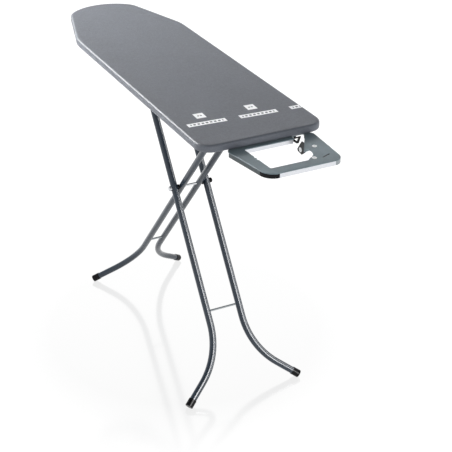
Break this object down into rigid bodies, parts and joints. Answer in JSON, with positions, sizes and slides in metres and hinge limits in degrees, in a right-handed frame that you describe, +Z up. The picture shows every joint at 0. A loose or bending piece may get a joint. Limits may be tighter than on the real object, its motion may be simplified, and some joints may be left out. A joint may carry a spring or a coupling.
{
  "type": "ironing board",
  "caption": "Folding ironing board with a fabric cover, crossed tube legs with splayed feet and a slide-out iron rest.",
  "frame": {"origin": "on the floor, under the middle of the whole object with the iron rest pulled out", "axes": "+X from the nose to the square end and iron rest, +Y to the right side seen from the square end, +Z up"},
  "size_m": [1.3929, 0.4038, 0.917],
  "materials": {
    "cover_fabric": "heather woven cotton",
    "pad_felt": "needled felt",
    "elastic": "woven elastic",
    "frame_steel": "satin powder coat",
    "galvanised": "galvanised",
    "leg_paint": "gloss powder coat",
    "rod_steel": "satin",
    "chrome": "polished",
    "zinc": "zinc plated",
    "spring_steel": "bright",
    "black_plastic": "fine grain",
    "white_nylon": "moulded",
    "rest_paint": "satin powder coat",
    "rest_aluminium": "bright anodised",
    "grey_plastic": "moulded",
    "dark_steel": "black oxide"
  },
  "bodies": {
    "board": {"cover": "cover_fabric", "pad": "pad_felt", "hem_elastic": "elastic", "mesh_top": "galvanised", "perimeter_frame": "frame_steel", "frame_joint_plug": "galvanised", "rear_cross_bar": "frame_steel", "middle_cross_bar": "frame_steel", "rest_cross_bar": "frame_steel", "hinge_cross_bar": "frame_steel", "left_rail": "frame_steel", "right_rail": "frame_steel", "left_hinge_bracket": "frame_steel", "right_hinge_bracket": "frame_steel", "hinge_pin": "zinc", "hinge_washers": "white_nylon", "slide_rod_guides": "white_nylon", "frame_bolts": "zinc", "strip_studs": "zinc", "return_spring": "spring_steel", "pull_rod_guide": "frame_steel"},
    "inner_legs": {"left_inner_leg_tube": "leg_paint", "right_inner_leg_tube": "leg_paint", "inner_cross_rod": "rod_steel", "left_inner_foot_cap": "black_plastic", "right_inner_foot_cap": "black_plastic", "inner_leg_top_plugs": "black_plastic", "hinge_sleeve": "leg_paint", "crossing_axle": "chrome", "crossing_bushes": "black_plastic", "left_crossing_cap_nut": "zinc", "right_crossing_cap_nut": "black_plastic"},
    "outer_legs": {"left_outer_leg_tube": "leg_paint", "right_outer_leg_tube": "leg_paint", "outer_cross_rod": "rod_steel", "left_outer_foot_cap": "black_plastic", "right_outer_foot_cap": "black_plastic", "outer_leg_top_plugs": "black_plastic", "top_axle": "zinc", "top_axle_sleeves": "black_plastic", "top_axle_clips": "zinc"},
    "release": {"lock_strip": "galvanised", "pull_rod": "dark_steel", "release_grip": "black_plastic", "spring_collar": "zinc"},
    "iron_rest": {"rest_plate": "rest_paint", "left_rest_rim": "rest_paint", "right_rest_rim": "rest_paint", "left_rest_corner": "black_plastic", "right_rest_corner": "grey_plastic", "rest_front_strip": "rest_aluminium", "rest_rear_rail": "rest_paint", "rest_rear_strip": "rest_aluminium", "left_slide_rod": "chrome", "right_slide_rod": "chrome", "slide_rod_clamps": "dark_steel", "slide_rod_stops": "zinc", "rest_ear": "dark_steel", "rest_eyelets": "rest_aluminium"}
  },
  "joints": [
    {"name": "leg_fold", "type": "hinge", "parent": "board", "child": "inner_legs", "pos_m": [0.3189, 0, 0.882], "axis": [0, 1, 0], "range_deg": [-5.3, 47.5]},
    {"name": "leg_crossing", "type": "hinge", "parent": "inner_legs", "child": "outer_legs", "pos_m": [0.0463, 0, 0.554], "axis": [0, 1, 0], "range_deg": [-99.5, 11.2]},
    {"name": "rest_slide", "type": "slide", "parent": "board", "child": "iron_rest", "axis": [1, 0, 0], "range_m": [-0.145, 0]},
    {"name": "release_pull", "type": "slide", "parent": "board", "child": "release", "axis": [1, 0, 0], "range_m": [0, 0.012], "stiffness_N_per_m": 400, "springref_m": -0.01, "deforming": ["return_spring"]}
  ],
  "couplings": [
    {"joint": "leg_crossing", "follows": "leg_fold", "ratio": -2.0926}
  ]
}
